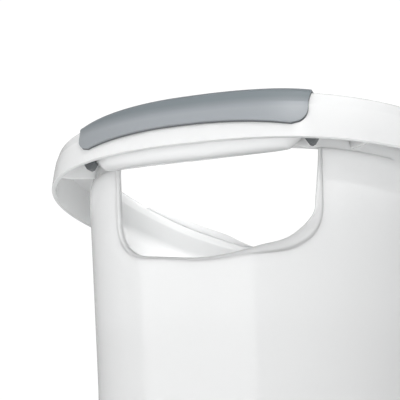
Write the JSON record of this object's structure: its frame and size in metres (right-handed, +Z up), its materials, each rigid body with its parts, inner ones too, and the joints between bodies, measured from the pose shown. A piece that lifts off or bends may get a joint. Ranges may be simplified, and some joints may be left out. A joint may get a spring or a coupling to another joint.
{
  "type": "pedal trash can",
  "caption": "Tall white oval pedal bin with grey soft grips over a hand-hole at each end, hinged lid, lift rod, pedal and lift-out bucket.",
  "frame": {"origin": "on the floor, under the middle of the whole object's bounding box", "axes": "+Z up, -Y towards the pedal, +Y towards the lid hinge, +X and -X towards the hand-holes"},
  "size_m": [0.4878, 0.3162, 0.9101],
  "materials": {
    "white_plastic": "glossy moulded polypropylene",
    "grey_grip": "satin soft-touch elastomer",
    "bucket_plastic": "satin moulded plastic",
    "rubber": "matt rubber",
    "steel": "zinc-plated steel",
    "dark_plastic": "dark grey moulded plastic"
  },
  "bodies": {
    "can": {"body_shell": "white_plastic", "grip_left": "grey_grip", "grip_right": "grey_grip", "base_cover": "white_plastic", "base_screw_1": "steel", "base_screw_2": "steel", "base_screw_3": "steel", "base_screw_4": "steel", "foot_1": "rubber", "foot_2": "rubber", "foot_3": "rubber", "foot_4": "rubber", "hinge_bracket_left": "white_plastic", "hinge_bracket_right": "white_plastic", "hinge_pin_left": "steel", "hinge_pin_right": "steel", "hinge_screw_1": "steel", "hinge_screw_2": "steel", "hinge_screw_3": "steel", "hinge_screw_4": "steel", "rod_guide_upper": "dark_plastic", "rod_guide_lower": "dark_plastic", "guide_screw_upper": "steel", "guide_screw_lower": "steel", "pedal_axle": "steel", "axle_bracket_left": "dark_plastic", "axle_bracket_right": "dark_plastic", "axle_screw_1": "steel", "axle_screw_2": "steel", "inner_bucket": "bucket_plastic"},
    "lid": {"lid": "white_plastic", "lid_bumper_left": "rubber", "lid_bumper_right": "rubber", "crank_pin": "steel"},
    "pedal": {"pedal_lever": "dark_plastic", "pedal_pad": "rubber"},
    "rod": {"lift_rod": "steel", "rod_yoke": "dark_plastic", "rod_foot": "dark_plastic"},
    "bail": {"bail_wire": "steel", "bail_grip": "dark_plastic"}
  },
  "joints": [
    {"name": "lid_close", "type": "hinge", "parent": "can", "child": "lid", "pos_m": [0, 0.127, 0.652], "axis": [1, 0, 0], "range_deg": [0, 97]},
    {"name": "pedal_release", "type": "hinge", "parent": "can", "child": "pedal", "pos_m": [0, -0.03, 0.025], "axis": [1, 0, 0], "range_deg": [-15.7, 0]},
    {"name": "rod_lift", "type": "slide", "parent": "can", "child": "rod", "axis": [0, 0.0528, 0.9986], "range_m": [-0.0301, 0]},
    {"name": "bail_swing", "type": "hinge", "parent": "can", "child": "bail", "pos_m": [0, -0.007, 0.524], "axis": [-1, 0, 0], "range_deg": [0, 180]}
  ],
  "couplings": [
    {"joint": "pedal_release", "follows": "lid_close", "ratio": -0.16082},
    {"joint": "rod_lift", "follows": "lid_close", "m_per_rad": -0.01772}
  ]
}
